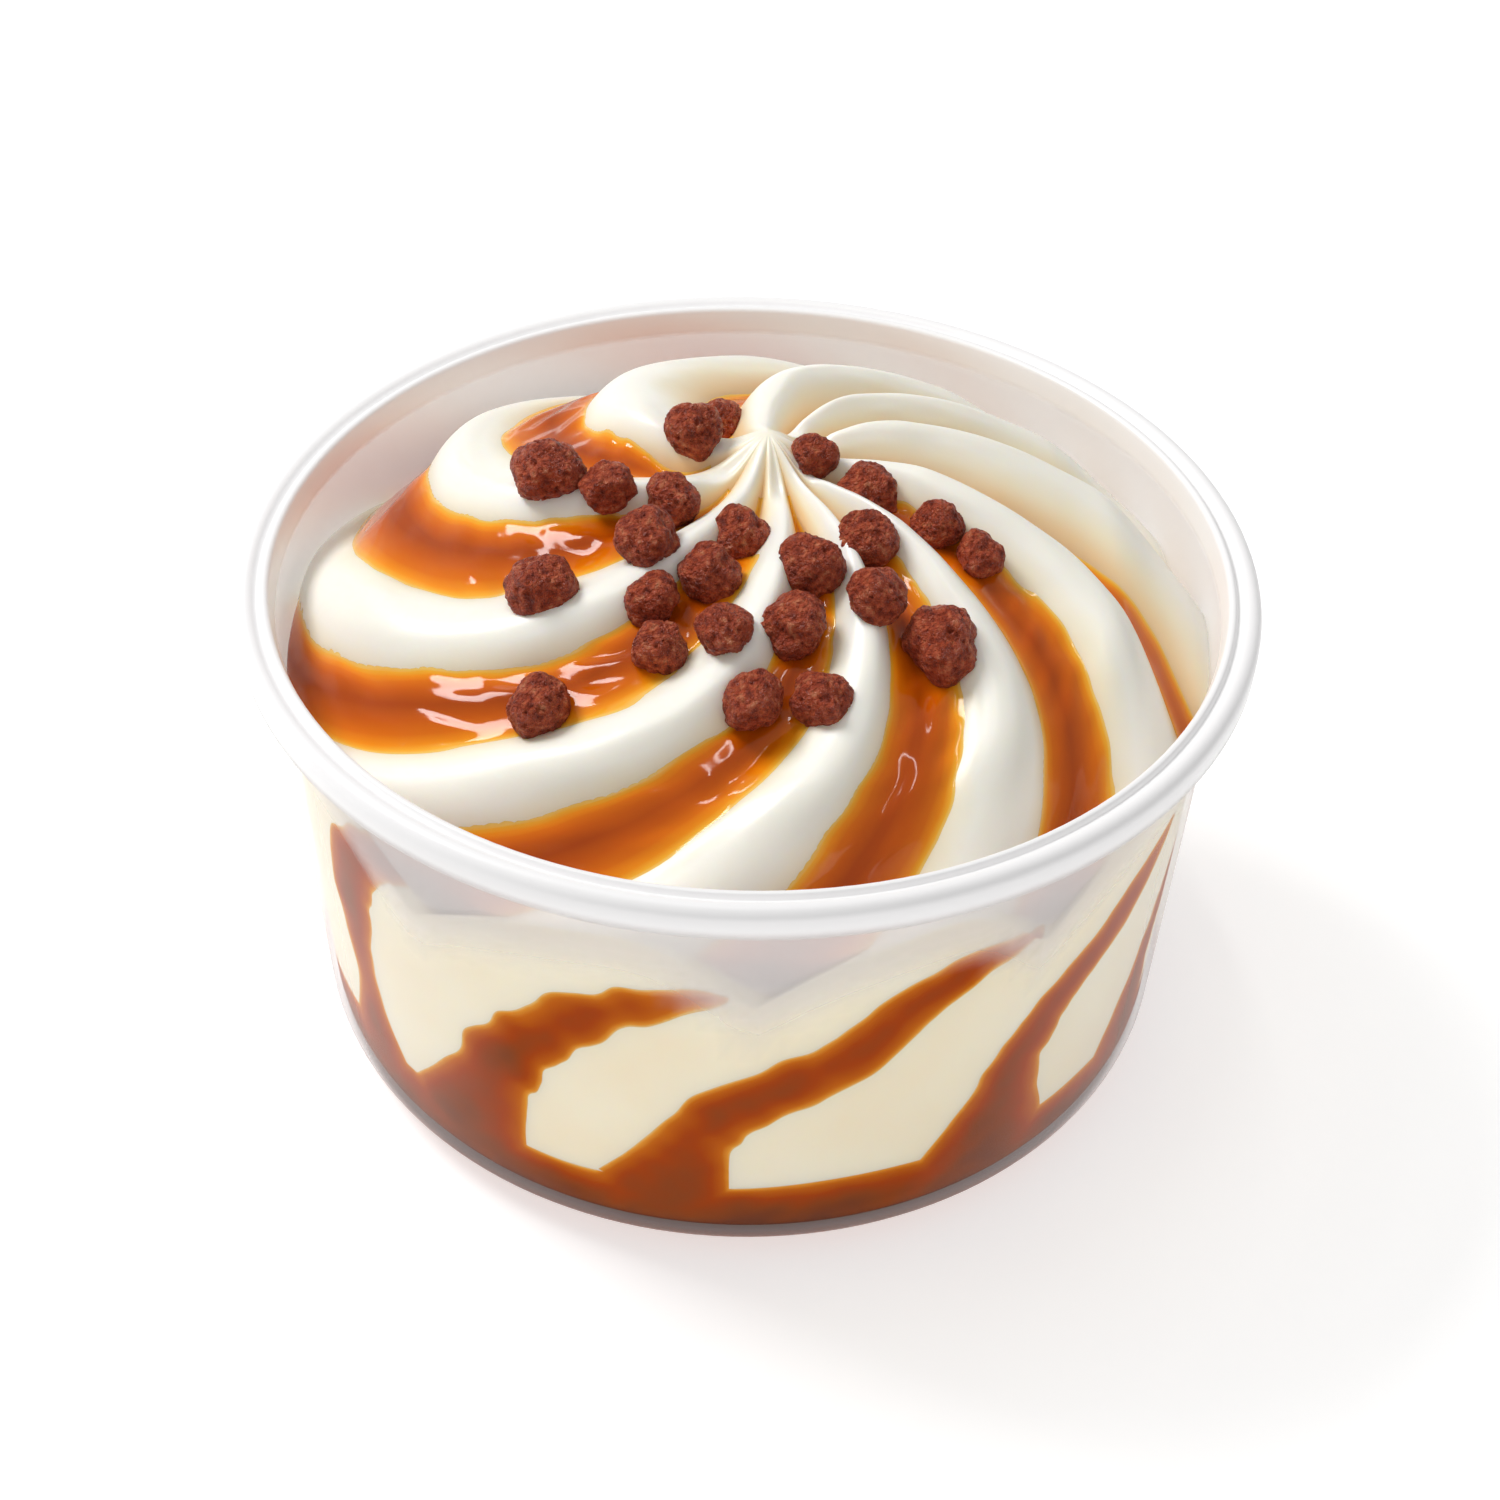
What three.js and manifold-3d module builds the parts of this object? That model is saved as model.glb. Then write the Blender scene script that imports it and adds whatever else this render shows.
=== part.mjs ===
// An ice cream cup: a round tapered plastic cup with a skirted rim, filled with soft ice cream piped in a
// ten-ridged swirl. Caramel sauce lies in the valleys of the swirl, runs down inside the wall in slanting
// streaks and stands in a layer over the cup's floor. Crisp chocolate balls sit half sunk round the peak.
// Millimetres, +Z up. The origin is the middle of the foot, and -Y is the side seen first.

import * as THREE from "three";
import { mergeVertices } from "three/addons/utils/BufferGeometryUtils.js";
import Module from "manifold-3d";

const wasm = await Module();
wasm.setup();

const RADIANS = Math.PI / 180;
const GAP = 0.3; // the clearance left between pieces that touch

// ---------- driving dimensions ----------

const CUP = {
  height: 50,
  rimRadius: 47.5,
  skirt: 3.2, // how far the rim's skirt hangs down
  wallTop: 44.6, // outer radius of the wall where the skirt ends
  wallFoot: 41.3, // outer radius of the wall if it ran straight to the floor
  corner: 6, // radius between wall and floor
  wall: 0.7,
  floor: 0.8,
  recess: 0.8, // the floor is raised this much inside the foot ring
  footInner: 32,
  segments: 48,
};

// The swirl's ridges: the angle of each crest at the middle radius, how many degrees it turns from the
// centre out, and how many more it hooks round near the wall.
const RIDGES = [
  [170, 76, 46],
  [222, 48, 44],
  [262, 37, 42],
  [292, 27, 28],
  [319, 8, 24],
  [351, 14, 20],
  [383, 18, 13],
  [404, 30, 10],
  [428, 40, 15],
  [476, 80, 40],
];
const SWIRL = {
  peak: { x: 1.4, y: 7, rise: 3, width: 4 }, // the pulled-up tip
  domeTop: 57,
  domeEdge: 43.5,
  shoulder: 3.4, // how much lower the surface lies at the wall
  shoulderFrom: 34,
  ridge: 3.5, // half the height from valley to crest
  ridgeFrom: 0, // radius at which ridges begin to rise out of the peak
  ridgeGrows: 16, // radius by which a ridge has its full height
  lean: 0.11, // crests lean to the anticlockwise side
  middle: 27, // the radius at which the crests' angles are given
  backDrop: 3, // how much lower the dome's edge is at the back
};

// How full each valley is with sauce, from the valley after the first ridge on: 0 is dry.
const VALLEY_SAUCE = [0.7, 0.68, 0.66, 0.7, 0.62, 0.32, 0, 0, 0.32, 0.66];

// Caramel streaks behind the wall, each from its root in the floor layer to its tip: the angle and the
// height of its middle line, and its width.
const STREAKS = [
  [
    [215, 8, 12], [214, 17, 5], [213, 25, 6.5], [214, 32, 8],
    [219, 37, 6.5], [226, 39.3, 4], [236, 39.3, 1.4],
  ],
  [
    [233, 8, 15], [237.5, 17, 8.5], [241, 22, 8], [246, 27, 6.6],
    [253, 31.5, 5.6], [260, 34.3, 4.4], [269, 36, 1.4],
  ],
  [
    [261, 8, 13], [265, 16, 7.5], [269, 20.5, 7], [277, 24.5, 7],
    [284, 27.5, 6.8], [291, 32.5, 6], [299, 35.5, 4], [308, 37, 1.4],
  ],
  [
    [304, 8, 16], [306, 16, 9], [308.5, 21, 7], [313, 25.3, 5.6],
    [320, 28.7, 5], [327, 32, 5], [336, 36, 1.6],
  ],
  [[333, 8, 13], [336, 16, 7], [341, 22, 5.5], [349, 28, 5], [360, 33, 1.6]],
];
// The streaks of the side at the back: which streak each is like, and by how many degrees it is turned.
const BACK_STREAKS = [
  [3, 62],
  [2, 150],
  [1, 218],
  [4, 146],
];
const STREAK_DEPTH = 3.5;
const POOL = { level: 10.3, wave: 0.6, waves: 5 };

// The chocolate balls: where each lies on the swirl, seen from above, and its diameter.
const BALLS = [
  [-3, 15.5, 4.4],
  [-5.5, 8, 5.2],
  [-18.5, 1.5, 6.2],
  [-13, -1.5, 4.6],
  [-7, -1, 5.6],
  [-9, -8.5, 5.8],
  [-1, -5.5, 5.4],
  [-3.5, -11.5, 5.4],
  [-8.5, -14.5, 4.8],
  [-7.5, -19.5, 4.8],
  [-2, -19.5, 4.8],
  [-18.5, -13, 6],
  [-18, -24.5, 5.4],
  [6, 5.5, 4],
  [10.5, 1.5, 5.8],
  [10.5, -6.5, 5.4],
  [5.5, -10.5, 6],
  [4, -17, 6],
  [11, -15, 5.2],
  [17, -17.5, 6.6],
  [0.5, -25, 5.4],
  [6.5, -25, 5],
  [17, -2, 4.6],
  [21, -5, 4.4],
];
const BALL_STANDS = 0.18; // how far its middle is above the surface, in diameters

// ---------- the cup's outline ----------

const wallSlope = (CUP.wallTop - CUP.wallFoot) / (CUP.height - CUP.skirt);
const outerRadius = (z) => CUP.wallFoot + wallSlope * z;

// The rounded corner between a wall line and a floor at a height, as points from the floor up.
function cornerArc(radiusAtFloor, floorHeight, cornerRadius, steps) {
  const lean = Math.atan(wallSlope);
  const middle = radiusAtFloor + cornerRadius * (wallSlope - 1 / Math.cos(lean));
  const points = [];
  for (let i = 0; i <= steps; i++) {
    const a = -Math.PI / 2 + (i / steps) * (Math.PI / 2 - lean);
    points.push([
      middle + cornerRadius * Math.cos(a),
      floorHeight + cornerRadius * (1 + Math.sin(a)),
    ]);
  }
  return points;
}

function cupProfile() {
  const top = CUP.height;
  const skirtFoot = top - CUP.skirt;
  const rim = CUP.rimRadius;
  const innerFloor = CUP.recess + CUP.floor;
  const bore = outerRadius(top) - CUP.wall;
  return [
    [0, CUP.recess],
    [CUP.footInner, CUP.recess],
    [CUP.footInner + 1, 0],
    ...cornerArc(outerRadius(0), 0, CUP.corner, 4),
    [outerRadius(top - 1.3), top - 1.3],
    [rim - 0.75, top - 1.3],
    [rim - 0.75, skirtFoot],
    [rim - 0.1, skirtFoot],
    [rim, skirtFoot + 0.4],
    [rim, top - 0.9],
    [rim - 0.35, top - 0.2],
    [rim - 1.0, top],
    [rim - 1.75, top - 0.35],
    [rim - 2.5, top - 0.05],
    [rim - 3.1, top - 0.25],
    [bore, top - 0.9],
    ...cornerArc(outerRadius(innerFloor) - CUP.wall, innerFloor, CUP.corner - CUP.wall, 4).reverse(),
    [0, innerFloor],
  ];
}

// ---------- solids ----------

function solidOf(geometry) {
  const bare = geometry.clone();
  bare.deleteAttribute("normal");
  bare.deleteAttribute("uv");
  const merged = mergeVertices(bare, 1e-4);
  return new wasm.Manifold(
    new wasm.Mesh({
      numProp: 3,
      vertProperties: new Float32Array(merged.attributes.position.array),
      triVerts: new Uint32Array(merged.index.array),
    }),
  );
}

function geometryOf(solid) {
  const mesh = solid.getMesh();
  const geometry = new THREE.BufferGeometry();
  geometry.setAttribute("position", new THREE.BufferAttribute(new Float32Array(mesh.vertProperties), 3));
  geometry.setIndex(new THREE.BufferAttribute(new Uint32Array(mesh.triVerts), 1));
  return geometry;
}

// A lathe that stands on +Z, from a profile of [radius, height] points.
function lathe(profile, segments) {
  const points = profile.map(([r, z]) => new THREE.Vector2(r, z));
  return new THREE.LatheGeometry(points, segments).rotateX(Math.PI / 2);
}

const middleOf = (ring) => [0, 1, 2].map((n) => ring.reduce((sum, p) => sum + p[n], 0) / ring.length);

// A closed solid from rings of points: the first and last rings are closed by a fan to their middles.
function ringSolid(rings, bottomMiddle, topMiddle) {
  const count = rings[0].length;
  const positions = [...rings.flat(), bottomMiddle, topMiddle].flat();
  const bottom = rings.length * count;
  const index = [];
  for (let j = 0; j < count; j++) {
    const next = (j + 1) % count;
    index.push(bottom, next, j);
    for (let i = 0; i + 1 < rings.length; i++) {
      const a = i * count + j;
      const b = i * count + next;
      index.push(a, b, b + count, a, b + count, a + count);
    }
    const last = (rings.length - 1) * count;
    index.push(bottom + 1, last + j, last + next);
  }
  const geometry = new THREE.BufferGeometry();
  geometry.setAttribute("position", new THREE.BufferAttribute(new Float32Array(positions), 3));
  geometry.setIndex(index);
  return solidOf(geometry);
}

// ---------- the swirl ----------

const smooth = (low, high, x) => THREE.MathUtils.smoothstep(x, low, high);
const innerRadius = (z) => outerRadius(z) - CUP.wall - GAP;
const FILL_RADIUS = innerRadius(SWIRL.domeEdge);

// The angle of a crest at a radius, in degrees. Crests are counted round and round, without end.
function crestAngle(number, radius) {
  const count = RIDGES.length;
  const [angle, twist, hook] = RIDGES[((number % count) + count) % count];
  const turn = (r) => twist * (r / FILL_RADIUS) + hook * (r / FILL_RADIUS) ** 4;
  return angle + turn(SWIRL.middle) - turn(radius) + 360 * Math.floor(number / count);
}

// The angle of a place counted in ridges: 0 is the first crest, 0.5 halfway to the second.
function ridgeAngle(phase, radius) {
  const k = Math.floor(phase);
  const from = crestAngle(k, radius);
  return from + (crestAngle(k + 1, radius) - from) * (phase - k);
}

function ridgeProfile(phase) {
  const leaned = phase + SWIRL.lean * Math.sin(Math.PI * phase) ** 2;
  return 2 * Math.abs(Math.cos(Math.PI * leaned)) ** 1.2 - 1;
}

// Where the swirl's own centre lies at a radius: over the peak in the middle, over the cup's axis outside.
function swirlCentre(radius) {
  const share = (1 - radius / FILL_RADIUS) ** 1.3;
  return [SWIRL.peak.x * share, SWIRL.peak.y * share];
}

function domeHeight(radius, angle) {
  const share = radius / FILL_RADIUS;
  const edge = SWIRL.domeEdge - SWIRL.backDrop * Math.max(0, Math.sin(angle));
  return (
    edge +
    (SWIRL.domeTop - edge) * (1 - share * share) -
    SWIRL.shoulder * smooth(SWIRL.shoulderFrom, FILL_RADIUS, radius) +
    SWIRL.peak.rise * Math.exp(-((radius / SWIRL.peak.width) ** 2))
  );
}

const ridgeHeight = (radius) => SWIRL.ridge * smooth(SWIRL.ridgeFrom, SWIRL.ridgeGrows, radius);

// A point of the cream's surface, by radius and place among the ridges, raised by lift.
function swirlPoint(radius, phase, lift = 0) {
  const angle = ridgeAngle(phase, radius) * RADIANS;
  const [cx, cy] = swirlCentre(radius);
  return [
    cx + radius * Math.cos(angle),
    cy + radius * Math.sin(angle),
    domeHeight(radius, angle) + ridgeHeight(radius) * ridgeProfile(phase) + lift,
  ];
}

// Sauce stands level across a valley, higher or lower by how full the valley is.
function saucePoint(radius, phase) {
  const fullness = VALLEY_SAUCE[Math.floor(phase) % RIDGES.length];
  const angle = ridgeAngle(phase, radius) * RADIANS;
  const [x, y] = swirlPoint(radius, phase);
  const thinning = 1 - 0.9 * (1 - smooth(5, 14, radius));
  const level = 2 * fullness * thinning - 1;
  return [x, y, domeHeight(radius, angle) + ridgeHeight(radius) * level];
}

// The height of the cream, or of the sauce where it covers the cream, over a place seen from above.
function surfaceAt(x, y) {
  let radius = Math.hypot(x, y);
  let angle = 0;
  for (let i = 0; i < 30; i++) {
    const [cx, cy] = swirlCentre(radius);
    radius = Math.hypot(x - cx, y - cy);
    angle = Math.atan2(y - cy, x - cx) / RADIANS;
  }
  while (angle < crestAngle(0, radius)) angle += 360;
  while (angle >= crestAngle(0, radius) + 360) angle -= 360;
  let k = 0;
  while (crestAngle(k + 1, radius) <= angle) k++;
  const from = crestAngle(k, radius);
  const phase = k + (angle - from) / (crestAngle(k + 1, radius) - from);
  const creamHeight = swirlPoint(radius, phase)[2];
  return VALLEY_SAUCE[k] > 0 ? Math.max(creamHeight, saucePoint(radius, phase)[2]) : creamHeight;
}

const SWIRL_RINGS = 15;
const SWIRL_STEPS = 8; // round the cup, for each ridge

// The cream's outline as one solid: the cup's inside below, the ridged dome on top.
function fillSolid(lift) {
  const phases = [];
  for (let i = 0; i < RIDGES.length * SWIRL_STEPS; i++) phases.push(i / SWIRL_STEPS);
  const floor = CUP.recess + CUP.floor + GAP;
  const corner = cornerArc(innerRadius(floor), floor, CUP.corner - CUP.wall - GAP, 3);
  const turned = (phase, radius, height) => {
    const angle = ridgeAngle(phase, FILL_RADIUS) * RADIANS;
    return [radius * Math.cos(angle), radius * Math.sin(angle), height];
  };
  const rings = corner.map(([r, z]) => phases.map((p) => turned(p, r, z)));
  const edge = FILL_RADIUS - 0.5;
  for (let i = SWIRL_RINGS; i > 0; i--) {
    const radius = edge * (i / SWIRL_RINGS) ** 0.8;
    rings.push(phases.map((p) => swirlPoint(radius, p, lift)));
  }
  return ringSolid(rings, [0, 0, floor], swirlPoint(0, 0, lift));
}

// ---------- caramel at the wall and over the floor ----------

// A place along a streak: its angle, height and width, on a smooth curve through the given places.
function streakAt(streak, share) {
  const last = streak.length - 1;
  const along = share * last;
  const k = Math.min(last - 1, Math.floor(along));
  const t = along - k;
  const from = (n) => streak[Math.min(last, Math.max(0, n))];
  return [0, 1, 2].map((n) => {
    const [a, b, c, d] = [k - 1, k, k + 1, k + 2].map((m) => from(m)[n]);
    return b + (t / 2) * (c - a + t * (2 * a - 5 * b + 4 * c - d + t * (3 * (b - c) + d - a)));
  });
}

function streakSolid(streak, grow) {
  const steps = 2 * (streak.length - 1);
  const outer = CUP.wallTop + 2;
  const more = 1.5 * grow;
  const ringAt = (share, past) => {
    const [angle, z, width] = streakAt(streak, share);
    const [angleBefore, zBefore] = streakAt(streak, Math.max(0, share - 0.02));
    const [angleAfter, zAfter] = streakAt(streak, Math.min(1, share + 0.02));
    const wall = innerRadius(z);
    const sideways = (angleAfter - angleBefore) * RADIANS * wall;
    const course = new THREE.Vector2(sideways, zAfter - zBefore).normalize();
    const half = width / 2 + more;
    const depth = wall - (STREAK_DEPTH * (1 - 0.55 * share) + more);
    const corners = [
      [depth, -0.7 * half],
      [outer, -half],
      [outer, half],
      [depth, 0.7 * half],
    ];
    return corners.map(([r, side]) => {
      const a = angle * RADIANS + (course.x * past - course.y * side) / wall;
      return [r * Math.cos(a), r * Math.sin(a), z + course.y * past + course.x * side];
    });
  };
  const rings = Array.from({ length: steps + 1 }, (_, i) => ringAt(i / steps, 0));
  if (grow > 0) rings.push(ringAt(1, more));
  return ringSolid(rings.map((ring) => ring.reverse()), middleOf(rings[0]), middleOf(rings[rings.length - 1]));
}

// Everything below the top of the floor layer, which rises and falls round the wall.
function poolSolid(raise) {
  const count = 30;
  const ring = (radius, height) =>
    Array.from({ length: count }, (_, i) => {
      const a = (i / count) * 2 * Math.PI;
      return [radius * Math.cos(a), radius * Math.sin(a), height(a)];
    });
  const level = (a) => POOL.level + POOL.wave * Math.sin(POOL.waves * a + 1) + raise;
  const wide = CUP.wallTop + 2;
  return ringSolid([ring(wide, () => -1), ring(wide, level)], [0, 0, -1], [0, 0, POOL.level + raise]);
}

// ---------- chocolate balls ----------

// A lumpy ball: a dodecahedron pushed in and out by a few waves that differ from ball to ball.
function ballGeometry(diameter, number, grow) {
  const geometry = mergeVertices(bareOf(new THREE.DodecahedronGeometry(1.08)), 1e-4);
  const place = geometry.attributes.position;
  const v = new THREE.Vector3();
  for (let i = 0; i < place.count; i++) {
    v.fromBufferAttribute(place, i).normalize();
    const lump =
      0.05 * Math.sin(3.1 * v.x + 2.3 * v.y + number * 1.7) +
      0.04 * Math.sin(4.3 * v.y - 3.7 * v.z + number * 2.9) +
      0.03 * Math.sin(6.1 * v.z + 5.3 * v.x - number * 4.1);
    v.multiplyScalar(1.08 * ((diameter / 2) * (1 + lump) + grow));
    place.setXYZ(i, v.x, v.y, v.z);
  }
  return geometry;
}

function bareOf(geometry) {
  geometry.deleteAttribute("normal");
  geometry.deleteAttribute("uv");
  return geometry;
}

// ---------- the model ----------

const model = new THREE.Group();

function addPiece(name, geometry, colour, roughness) {
  const material = new THREE.MeshStandardMaterial({ color: colour, roughness, metalness: 0 });
  const mesh = new THREE.Mesh(geometry, material);
  mesh.name = name;
  model.add(mesh);
  return mesh;
}

// The cup.
addPiece("cup", bareOf(lathe(cupProfile(), CUP.segments)), 0xf2f0ee, 0.35);

// The cream, the floor layer with its streaks, and the sauce in the valleys, cut from one filling.
const filling = fillSolid(0);
const sum = (solids) => solids.reduce((a, b) => a.add(b));
const turned = ([index, turn]) => STREAKS[index].map(([angle, z, width]) => [angle + turn, z, width]);
const streaks = [...STREAKS, ...BACK_STREAKS.map(turned)];
const caramelSpace = (grow) => poolSolid(grow).add(sum(streaks.map((s) => streakSolid(s, grow))));
const caramel = caramelSpace(0).intersect(filling);
let cream = filling.subtract(caramelSpace(GAP));

// One valley's sauce, before the cream under it is cut away.
function valleySauce(valley) {
  const across = 8;
  const along = 12;
  const rings = [];
  for (let i = 0; i <= along; i++) {
    const radius = 6 + ((FILL_RADIUS - 1.8 - 6) * i) / along;
    const top = [];
    const under = [];
    for (let j = 0; j <= across; j++) {
      const phase = valley + 0.06 + (0.88 * j) / across;
      const [x, y, z] = saucePoint(radius, phase);
      top.push([x, y, z]);
      under.unshift([x, y, z - 6]);
    }
    rings.push([...top, ...under].reverse());
  }
  return ringSolid(rings, middleOf(rings[0]), middleOf(rings[along]));
}

const creamUnderSauce = fillSolid(GAP);
const sauces = [];
VALLEY_SAUCE.forEach((fullness, valley) => {
  if (fullness === 0) return;
  sauces.push({ valley, solid: valleySauce(valley).subtract(creamUnderSauce) });
});

// The balls, each half sunk in a pocket of its own.
BALLS.forEach(([x, y, diameter], number) => {
  const place = [x, y, surfaceAt(x, y) + BALL_STANDS * diameter];
  const ball = solidOf(ballGeometry(diameter, number, 0)).translate(place);
  const pocket = solidOf(ballGeometry(diameter, number, GAP)).translate(place);
  cream = cream.subtract(pocket);
  for (const sauce of sauces) sauce.solid = sauce.solid.subtract(pocket);
  addPiece("choc_ball_" + String(number + 1).padStart(2, "0"), geometryOf(ball), 0x5a2a1c, 0.75);
});

// The largest body of a cut solid, without the scraps.
const kept = (solid) => solid.decompose().sort((a, b) => b.volume() - a.volume())[0];
addPiece("ice_cream", geometryOf(kept(cream)), 0xfbf3df, 0.5);
addPiece("caramel_base", geometryOf(kept(caramel)), 0xb4581a, 0.3);
for (const { valley, solid } of sauces) {
  const name = "caramel_sauce_" + String(valley + 1).padStart(2, "0");
  addPiece(name, geometryOf(kept(solid)), 0xd9730f, 0.2);
}

export default model;
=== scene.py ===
import math

import bmesh
import bpy
from mathutils import Matrix, Vector, kdtree, noise


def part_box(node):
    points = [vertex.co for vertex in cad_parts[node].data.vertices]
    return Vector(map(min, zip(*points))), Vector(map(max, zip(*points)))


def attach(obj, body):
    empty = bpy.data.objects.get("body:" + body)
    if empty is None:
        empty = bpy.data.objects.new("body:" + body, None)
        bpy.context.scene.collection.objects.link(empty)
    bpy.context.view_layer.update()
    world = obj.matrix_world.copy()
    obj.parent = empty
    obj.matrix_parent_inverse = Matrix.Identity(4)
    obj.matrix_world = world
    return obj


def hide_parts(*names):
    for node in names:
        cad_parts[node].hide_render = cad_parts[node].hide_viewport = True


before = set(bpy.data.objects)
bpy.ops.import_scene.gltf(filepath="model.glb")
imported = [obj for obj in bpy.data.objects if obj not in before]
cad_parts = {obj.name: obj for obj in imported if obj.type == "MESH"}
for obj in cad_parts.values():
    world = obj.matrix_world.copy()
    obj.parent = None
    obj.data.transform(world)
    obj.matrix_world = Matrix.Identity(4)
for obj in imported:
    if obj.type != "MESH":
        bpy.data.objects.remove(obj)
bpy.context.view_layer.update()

# ---------------------------------------------------------------------------------------------------------
# The cup: one thin injection-moulded shell of clear, slightly frosted plastic. Its rim is thicker and
# whiter: an inner bead, a shallow groove, an outer bead and a skirt that hangs down outside the wall.
# ---------------------------------------------------------------------------------------------------------

MM = 0.001
CUP_HEIGHT = 50.0
SKIRT = 3.2
WALL_FOOT = 41.3
WALL_TOP = 44.6
WALL = 0.7
FLOOR = 0.8
RECESS = 0.8
FOOT_INNER = 32.0
CORNER = 6.0
CUP_STEPS = 144
# The heights of the wall's rings of points, closer together where the frost comes in.
WALL_RINGS = (12, 20, 28, 32, 34, *range(36, 47))
UNDER_RIM = 48.8
SKIRT_INNER = 46.75
SKIRT_OUTER = 47.5
# The rim's two beads: radius and height of the middle, size, first and last angle, steps.
OUTER_BEAD = (46.5, 49.0, 1.0, 0, 128, 9)
INNER_BEAD = (44.85, 49.45, 0.5, 60, 175, 6)
GROOVE = [(45.6, 49.52), (45.3, 49.5)]

WALL_SLOPE = (WALL_TOP - WALL_FOOT) / (CUP_HEIGHT - SKIRT)
INNER_FLOOR = RECESS + FLOOR


def outer_radius(z):
    return WALL_FOOT + WALL_SLOPE * z


def corner_arc(radius_at_floor, floor_height, corner, steps):
    """The rounded corner between the wall and a floor, from the floor up."""
    lean = math.atan(WALL_SLOPE)
    middle = radius_at_floor + corner * (WALL_SLOPE - 1 / math.cos(lean))
    points = []
    for i in range(steps + 1):
        a = -math.pi / 2 + i / steps * (math.pi / 2 - lean)
        points.append((middle + corner * math.cos(a), floor_height + corner * (1 + math.sin(a))))
    return points


def bead(radius, height, size, start, end, steps):
    """A round bead on the rim, from one angle to another, in degrees."""
    points = []
    for i in range(steps + 1):
        a = math.radians(start + (end - start) * i / steps)
        points.append((radius + size * math.cos(a), height + size * math.sin(a)))
    return points


def spun(mesh, profile, steps):
    """A profile of (radius, height) points in millimetres, spun round the cup's axis."""
    edge = [mesh.verts.new((r * MM, 0, z * MM)) for r, z in profile]
    lines = [mesh.edges.new(pair) for pair in zip(edge, edge[1:])]
    bmesh.ops.spin(
        mesh, geom=edge + lines, axis=(0, 0, 1), cent=(0, 0, 0), angle=2 * math.pi, steps=steps,
        use_merge=True,
    )
    bmesh.ops.remove_doubles(mesh, verts=mesh.verts, dist=1e-7)


def finished(mesh, name, slot, *nodes):
    """The piece itself: its mesh closed up, smooth, riding on the cup and standing for its solids."""
    bmesh.ops.recalc_face_normals(mesh, faces=mesh.faces)
    for face in mesh.faces:
        face.smooth = True
    data = bpy.data.meshes.new(name)
    mesh.to_mesh(data)
    mesh.free()
    piece = bpy.data.objects.new(name, data)
    bpy.context.scene.collection.objects.link(piece)
    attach(piece, "root")
    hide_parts(*nodes)
    return piece


skirt_foot = CUP_HEIGHT - SKIRT
cup_profile = [(0, RECESS), (FOOT_INNER, RECESS), (FOOT_INNER + 0.8, 0.1), (FOOT_INNER + 1.2, 0)]
cup_profile += corner_arc(outer_radius(0), 0, CORNER, 14)
cup_profile += [(outer_radius(z), z) for z in (*WALL_RINGS, 47.5, 48.6)]
cup_profile += [(outer_radius(48.7) + 0.25, UNDER_RIM), (SKIRT_INNER - 0.25, UNDER_RIM)]
cup_profile += [(SKIRT_INNER - 0.03, 48.5), (SKIRT_INNER, 48.0), (SKIRT_INNER, skirt_foot + 0.3)]
cup_profile += [(SKIRT_INNER + 0.1, skirt_foot + 0.05), (SKIRT_INNER + 0.3, skirt_foot)]
cup_profile += [(SKIRT_OUTER - 0.2, skirt_foot + 0.05), (SKIRT_OUTER - 0.08, skirt_foot + 0.35)]
cup_profile += [(SKIRT_OUTER, 48.5)]
cup_profile += bead(*OUTER_BEAD) + GROOVE + bead(*INNER_BEAD)
cup_profile += [(outer_radius(z) - WALL, z) for z in (48.4, *reversed(WALL_RINGS))]
cup_profile += reversed(corner_arc(outer_radius(INNER_FLOOR) - WALL, INNER_FLOOR, CORNER - WALL, 12))
cup_profile += [(0, INNER_FLOOR)]

cup_mesh = bmesh.new()
spun(cup_mesh, cup_profile, CUP_STEPS)
cup = finished(cup_mesh, "clear_cup", "cup", "cup")


class Paint:
    """A material's nodes, written in the order in which they are joined."""

    def __init__(self, name):
        self.material = bpy.data.materials.new(name)
        self.material.use_nodes = True
        self.nodes = self.material.node_tree.nodes
        self.links = self.material.node_tree.links
        self.shader = self.nodes["Principled BSDF"]

    def node(self, kind, **settings):
        made = self.nodes.new("ShaderNode" + kind)
        for key, value in settings.items():
            setattr(made, key, value)
        return made

    def join(self, source, target):
        self.links.new(source, target)

    def place(self):
        return self.node("TexCoord").outputs["Object"]

    def noise(self, scale, detail=2.0, place=None):
        made = self.node("TexNoise")
        made.inputs["Scale"].default_value = scale
        made.inputs["Detail"].default_value = detail
        self.join(place or self.place(), made.inputs["Vector"])
        return made.outputs["Fac"]

    def ramp(self, source, *stops):
        made = self.node("ValToRGB")
        band = made.color_ramp
        while len(band.elements) < len(stops):
            band.elements.new(0.5)
        for element, (position, colour) in zip(band.elements, stops):
            element.position = position
            element.color = (*colour, 1)
        self.join(source, made.inputs["Fac"])
        return made.outputs["Color"]

    def bump(self, height, strength, distance):
        made = self.node("Bump")
        made.inputs["Strength"].default_value = strength
        made.inputs["Distance"].default_value = distance
        self.join(height, made.inputs["Height"])
        self.join(made.outputs["Normal"], self.shader.inputs["Normal"])

    def set(self, **values):
        for key, value in values.items():
            self.shader.inputs[key.replace("_", " ")].default_value = value


def grey(value):
    return (value, value, value)


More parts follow.
